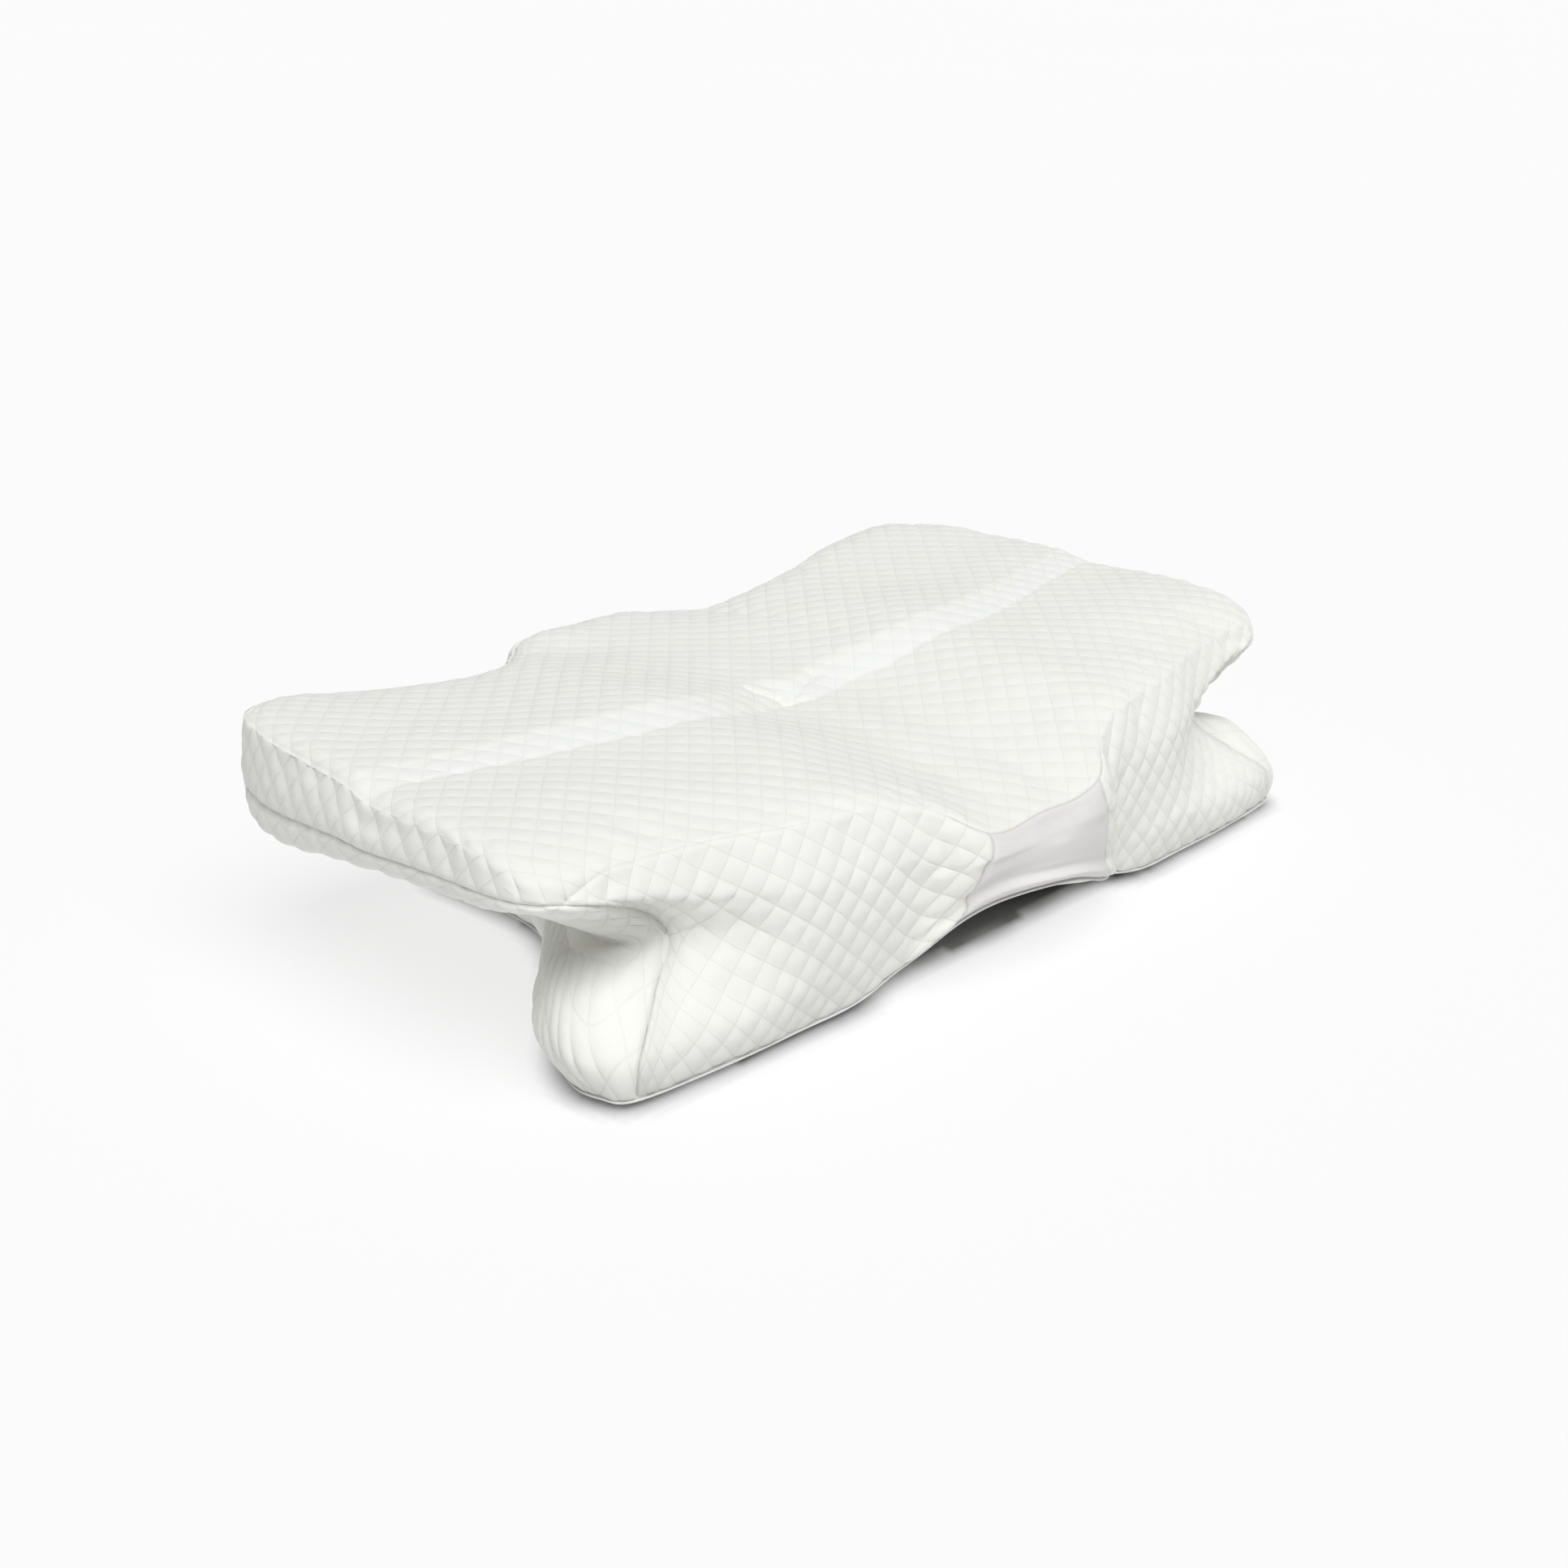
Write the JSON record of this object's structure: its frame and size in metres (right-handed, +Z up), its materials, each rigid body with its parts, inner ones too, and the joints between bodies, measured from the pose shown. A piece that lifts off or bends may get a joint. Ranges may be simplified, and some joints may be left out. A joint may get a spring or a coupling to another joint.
{
  "type": "contoured neck pillow",
  "caption": "Butterfly-shaped memory-foam neck pillow with arm recesses under its wings, in a quilted zip-off cover.",
  "frame": {"origin": "on the surface the pillow rests on, in the middle of its length and depth", "axes": "+X along the pillow's length, -Y the side the neck lies on, +Z up; the body is mirrored about X = 0"},
  "size_m": [0.6396, 0.3944, 0.137],
  "materials": {
    "memory_foam": "matt open-cell foam",
    "liner_jersey": "matt thin knit",
    "quilted_knit": "soft diamond-quilted knit",
    "plain_knit": "smooth knit",
    "base_knit": "plain knit",
    "seam_binding": "folded tape",
    "zip_tape": "woven tape",
    "zip_coil": "polyester coil",
    "zip_metal": "nickel plated",
    "label_satin": "satin ribbon, blank"
  },
  "bodies": {
    "pillow": {"foam_core": "memory_foam", "liner_upper": "liner_jersey", "liner_lower": "liner_jersey", "cover_top_panel": "quilted_knit", "cover_front_left_panel": "quilted_knit", "cover_front_center_panel": "plain_knit", "cover_front_right_panel": "quilted_knit", "cover_side_left_panel": "quilted_knit", "cover_side_right_panel": "quilted_knit", "cover_back_panel": "quilted_knit", "cover_bottom_panel": "base_knit", "base_seam_binding": "seam_binding", "zip_tape_upper": "zip_tape", "zip_tape_lower": "zip_tape", "zip_coil_upper": "zip_coil", "zip_coil_lower": "zip_coil", "zip_closed_end_stop": "zip_coil", "zip_open_end_stop": "zip_coil", "care_label": "label_satin"},
    "zip_slider": {"zip_slider": "zip_metal"},
    "pull_tab": {"zip_pull_tab": "zip_metal"}
  },
  "joints": [
    {"name": "zip_slide", "type": "slide", "parent": "pillow", "child": "zip_slider", "axis": [-1, 0, 0], "range_m": [0, 0.268]},
    {"name": "pull_tab_swing", "type": "hinge", "parent": "zip_slider", "child": "pull_tab", "pos_m": [0.134, 0.1584, 0.022], "axis": [0, 0, 1], "range_deg": [0, 180]}
  ]
}
